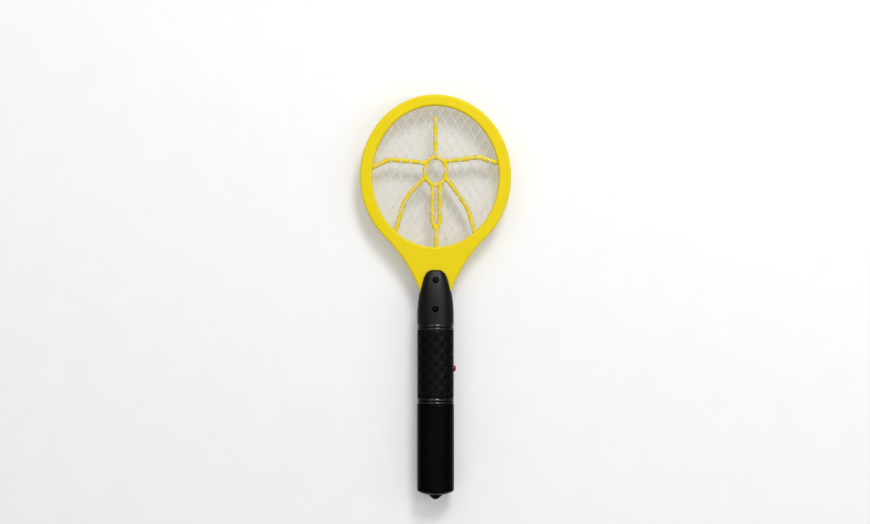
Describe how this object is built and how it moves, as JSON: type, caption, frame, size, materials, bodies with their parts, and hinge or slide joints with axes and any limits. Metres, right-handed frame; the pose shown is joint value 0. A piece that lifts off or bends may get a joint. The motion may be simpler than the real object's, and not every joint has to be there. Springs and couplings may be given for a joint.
{
  "type": "electric fly swatter",
  "caption": "Battery-powered hand-held fly swatter: an oval wire-grid head on a tubular handle with a push button and a twist-off battery tube.",
  "frame": {"origin": "centre of the base of the bounding box: on the swatter's plane of symmetry, half way along its length, on the surface it lies on", "axes": "+Y along the swatter from the battery end to the head, +Z out of the front face of the head, +X to the right seen from the front, where the button is"},
  "size_m": [0.1492, 0.4, 0.0366],
  "materials": {
    "yellow_shell": "satin moulded plastic",
    "yellow_rib": "satin moulded plastic",
    "grid_wire": "bright drawn wire",
    "black_handle": "fine-grained moulded plastic",
    "black_tube": "fluted, semi-gloss",
    "screw_steel": "black-oxide steel",
    "red_button": "polished plastic",
    "red_lens": "translucent plastic",
    "white_plastic": "plain plastic",
    "black_component": "moulded plastic",
    "green_board": "solder mask on glass-epoxy board",
    "ferrite": "sintered ferrite",
    "copper_winding": "enamelled copper wire",
    "red_capacitor": "dipped epoxy",
    "blue_capacitor": "dipped epoxy",
    "tan_component": "lacquered resistor body",
    "red_lead": "PVC insulation",
    "contact_brass": "stamped brass",
    "spring_steel": "nickel-plated spring steel",
    "cell_jacket": "plain lacquered metal jacket"
  },
  "bodies": {
    "handle": {"head_front_shell": "yellow_shell", "head_rear_shell": "yellow_shell", "front_spacer": "yellow_rib", "rear_spacer": "yellow_rib", "front_grid": "grid_wire", "centre_grid": "grid_wire", "rear_grid": "grid_wire", "handle_front_shell": "black_handle", "handle_rear_shell": "black_handle", "handle_screws": "screw_steel", "tact_switch": "black_component", "indicator_led": "red_lens", "circuit_board": "green_board", "transformer_core": "ferrite", "transformer_winding": "copper_winding", "storage_capacitor": "red_capacitor", "multiplier_capacitors": "blue_capacitor", "diodes": "black_component", "resistors": "tan_component", "transistor": "black_component", "outer_grid_leads": "red_lead", "centre_grid_lead": "white_plastic", "battery_leads": "red_lead", "contact_carrier": "black_component", "handle_contacts": "contact_brass"},
    "button": {"button_cap": "red_button", "switch_plunger": "white_plastic"},
    "battery_pack": {"battery_cradle": "black_component", "cell_left": "cell_jacket", "cell_right": "cell_jacket", "cell_springs": "spring_steel", "bridge_contact": "spring_steel", "cradle_contacts": "contact_brass"},
    "battery_tube": {"battery_tube": "black_tube"}
  },
  "joints": [
    {"name": "button_press", "type": "slide", "parent": "handle", "child": "button", "axis": [-1, 0, 0], "range_m": [0, 0.0012], "stiffness_N_per_m": 600, "springref_m": -0.001},
    {"name": "battery_pull", "type": "slide", "parent": "handle", "child": "battery_pack", "axis": [0, -1, 0], "range_m": [0, 0.09]},
    {"name": "tube_twist", "type": "hinge", "parent": "battery_pack", "child": "battery_tube", "pos_m": [0, -0.1056, 0.0183], "axis": [0, -1, 0], "range_deg": [0, 45]}
  ]
}
